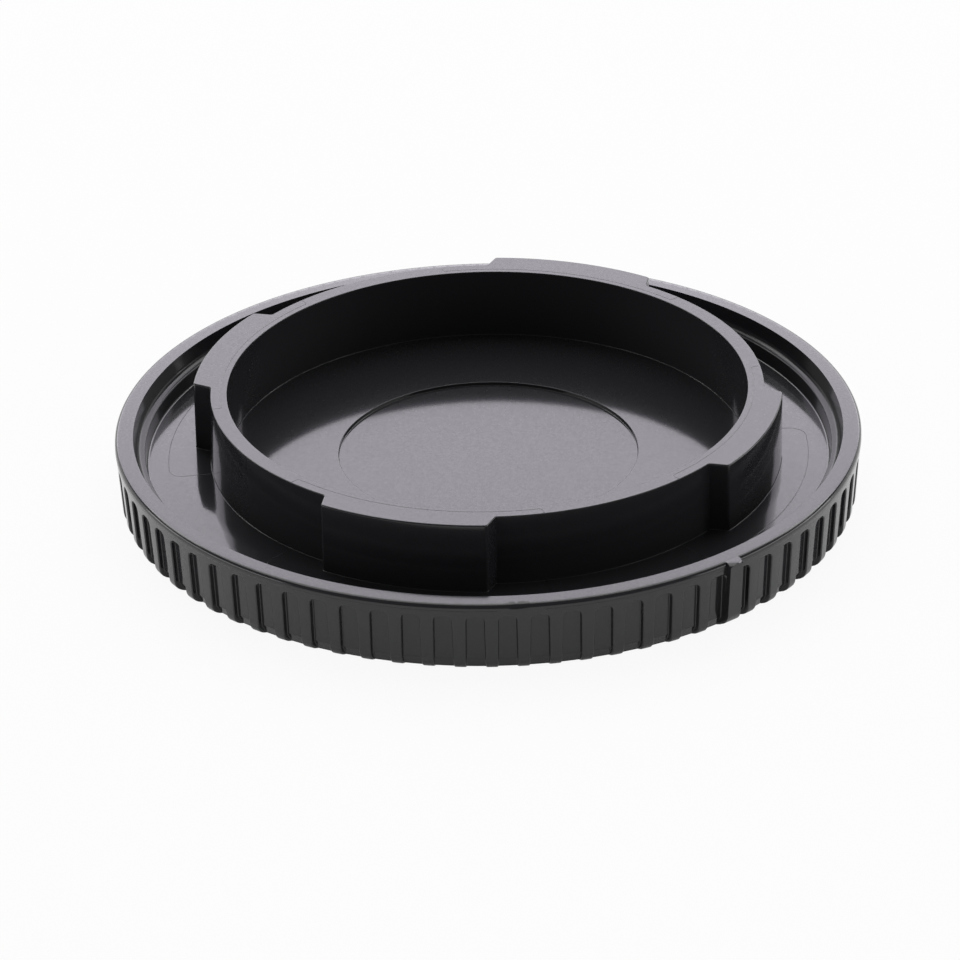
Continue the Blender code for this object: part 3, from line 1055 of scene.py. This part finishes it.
def photo_camera(studio, height):
    """The camera, at its distance from the rim's top and at the photograph's viewing angle."""
    lens = bpy.data.cameras.new("camera")
    lens.sensor_width = 36
    lens.lens = studio.lens
    lens.clip_start = 0.01
    lens.clip_end = 20
    camera = add_object("camera", lens)
    away = studio.distance * math.cos(studio.elevation)
    camera.location = (0, -away, height + studio.distance * math.sin(studio.elevation))
    aim = Vector((*CAMERA_AIM, height / MM)) * MM
    level = (aim - camera.location).to_track_quat('-Z', 'Y')
    camera.rotation_mode = 'QUATERNION'
    camera.rotation_quaternion = level @ Quaternion((0, 0, 1), studio.roll)
    return camera


class CAP_OT_studio(bpy.types.Operator):
    """Makes the pale floor, the soft lamps and the camera"""

    bl_idname = "cap.studio"
    bl_label = "Studio"

    def execute(self, context):
        scene = context.scene
        studio = scene.cap_studio
        floor = add_object("floor", floor_mesh())
        floor.data.materials.append(seen_white("matt_floor_paper", studio.floor, studio.floor_white,
                                               studio.front_shade_white, studio.rim_shadow_white))
        sweep = add_object("sweep", sweep_mesh())
        sweep.data.materials.append(seen_white("matt_sweep_paper", studio.floor, 1.0))
        scene.world = pale_world(studio.world)
        for lamp in LAMPS:
            area_lamp(*lamp)
        scene.camera = photo_camera(studio, scene.cap_sizes.rim_height)
        scene.view_settings.view_transform = 'Standard'
        return {'FINISHED'}


class CAP_PT_panel(bpy.types.Panel):
    """Lists the cap's operators and sizes"""

    bl_idname = "CAP_PT_panel"
    bl_label = "Body Cap"
    bl_space_type = 'VIEW_3D'
    bl_region_type = 'UI'
    bl_category = "Body Cap"

    def draw(self, context):
        column = self.layout.column()
        column.operator("cap.moulding")
        column.operator("cap.mould_lines")
        column.operator("cap.studio")
        for group in (context.scene.cap_sizes, context.scene.cap_finish, context.scene.cap_studio):
            for name in group.__annotations__:
                column.prop(group, name)


CLASSES = (
    CapSizes,
    CapFinish,
    StudioSettings,
    CAP_OT_moulding,
    CAP_OT_mould_lines,
    CAP_OT_studio,
    CAP_PT_panel,
)


def register():
    for each in CLASSES:
        bpy.utils.register_class(each)
    bpy.types.Scene.cap_sizes = PointerProperty(type=CapSizes)
    bpy.types.Scene.cap_finish = PointerProperty(type=CapFinish)
    bpy.types.Scene.cap_studio = PointerProperty(type=StudioSettings)


def unregister():
    del bpy.types.Scene.cap_studio
    del bpy.types.Scene.cap_finish
    del bpy.types.Scene.cap_sizes
    for each in reversed(CLASSES):
        bpy.utils.unregister_class(each)


def main():
    register()
    bpy.ops.cap.moulding()
    bpy.ops.cap.mould_lines()
    bpy.ops.cap.studio()


if __name__ == "__main__":
    main()
